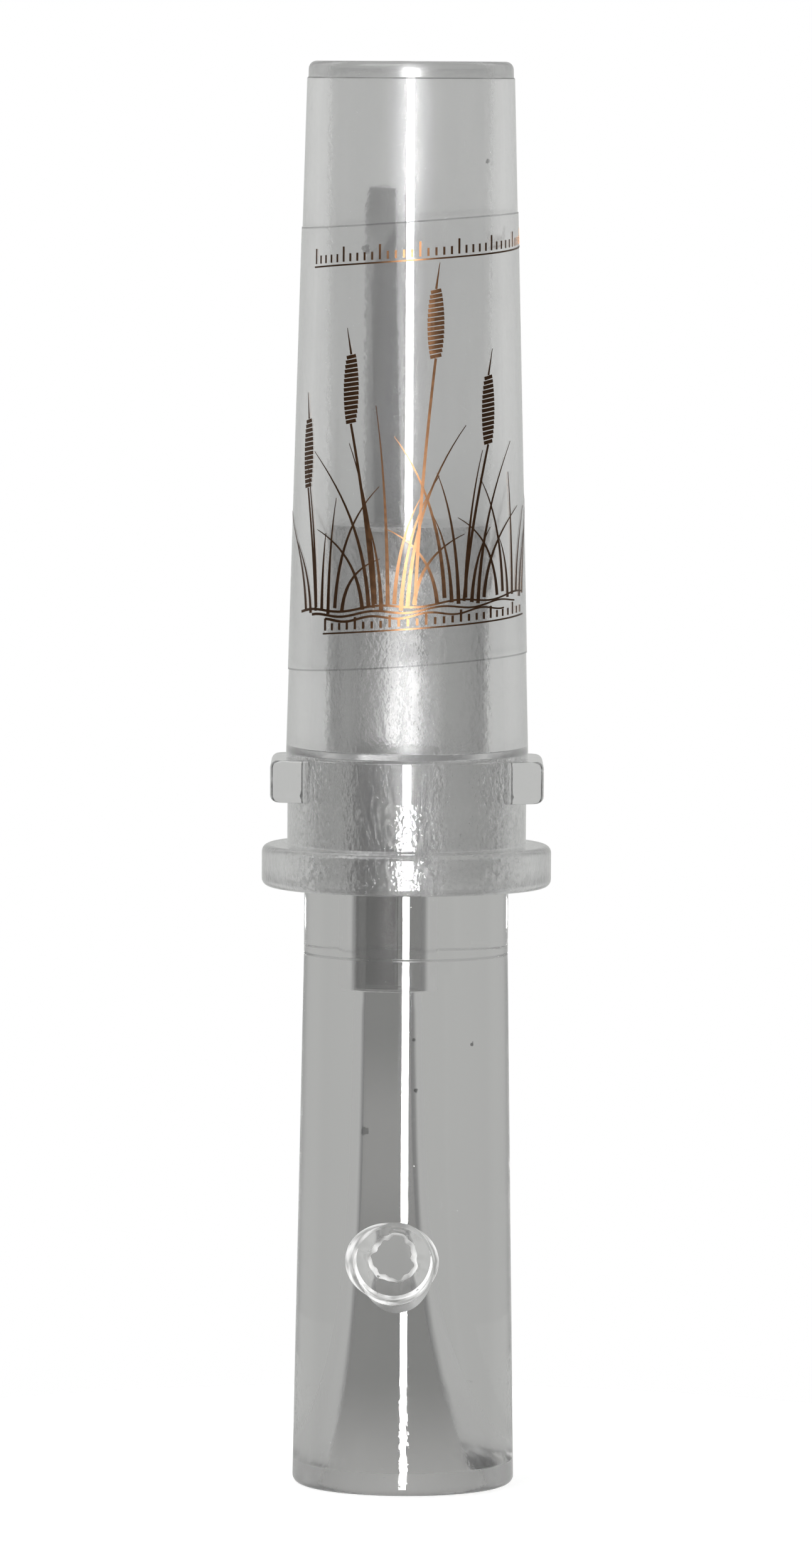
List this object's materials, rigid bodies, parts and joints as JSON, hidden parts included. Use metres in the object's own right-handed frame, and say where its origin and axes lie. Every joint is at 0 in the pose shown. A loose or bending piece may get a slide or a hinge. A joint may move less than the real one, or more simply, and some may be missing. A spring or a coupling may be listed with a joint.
{
  "type": "predator call",
  "caption": "Hand-held clear plastic game call: a belled insert with a tone hole carries a reed unit, and a tapered mouthpiece barrel with a lanyard groove slips over it.",
  "frame": {"origin": "centre of the bell's end face, on the axis of the bodies", "axes": "+Z from the bell end to the mouthpiece; the tone hole faces -Y and the reed faces +X"},
  "size_m": [0.0288, 0.0288, 0.1418],
  "materials": {
    "clear_acrylic": "polished clear acrylic with fine handling scratches",
    "smoke_acrylic": "clear acrylic with a light smoke tint, turned satin on the tenon",
    "reed_sheet": "thin translucent polyester sheet",
    "wedge_plastic": "frosted translucent plastic",
    "clear_film": "clear glossy label film",
    "copper_print": "copper-coloured foil print, brown where it turns away from the light"
  },
  "bodies": {
    "insert_body": {"insert": "smoke_acrylic"},
    "barrel_body": {"barrel": "clear_acrylic", "label_film": "clear_film"},
    "reed_unit": {"tone_board": "smoke_acrylic"},
    "reed_blade": {"reed": "reed_sheet"},
    "wedge_body": {"wedge": "wedge_plastic"}
  },
  "joints": [
    {"name": "barrel_pull", "type": "slide", "parent": "insert_body", "child": "barrel_body", "axis": [0, 0, 1], "range_m": [0, 0.072]},
    {"name": "reed_unit_pull", "type": "slide", "parent": "insert_body", "child": "reed_unit", "axis": [0, 0, 1], "range_m": [0, 0.047]},
    {"name": "wedge_pull", "type": "slide", "parent": "reed_unit", "child": "wedge_body", "axis": [0, 0, 1], "range_m": [0, 0.0225]},
    {"name": "reed_flex", "type": "hinge", "parent": "reed_unit", "child": "reed_blade", "pos_m": [-0.00032, 0, 0.0912], "axis": [0, -1, 0], "range_deg": [0, 1.1], "stiffness_Nm_per_rad": 0.004}
  ]
}
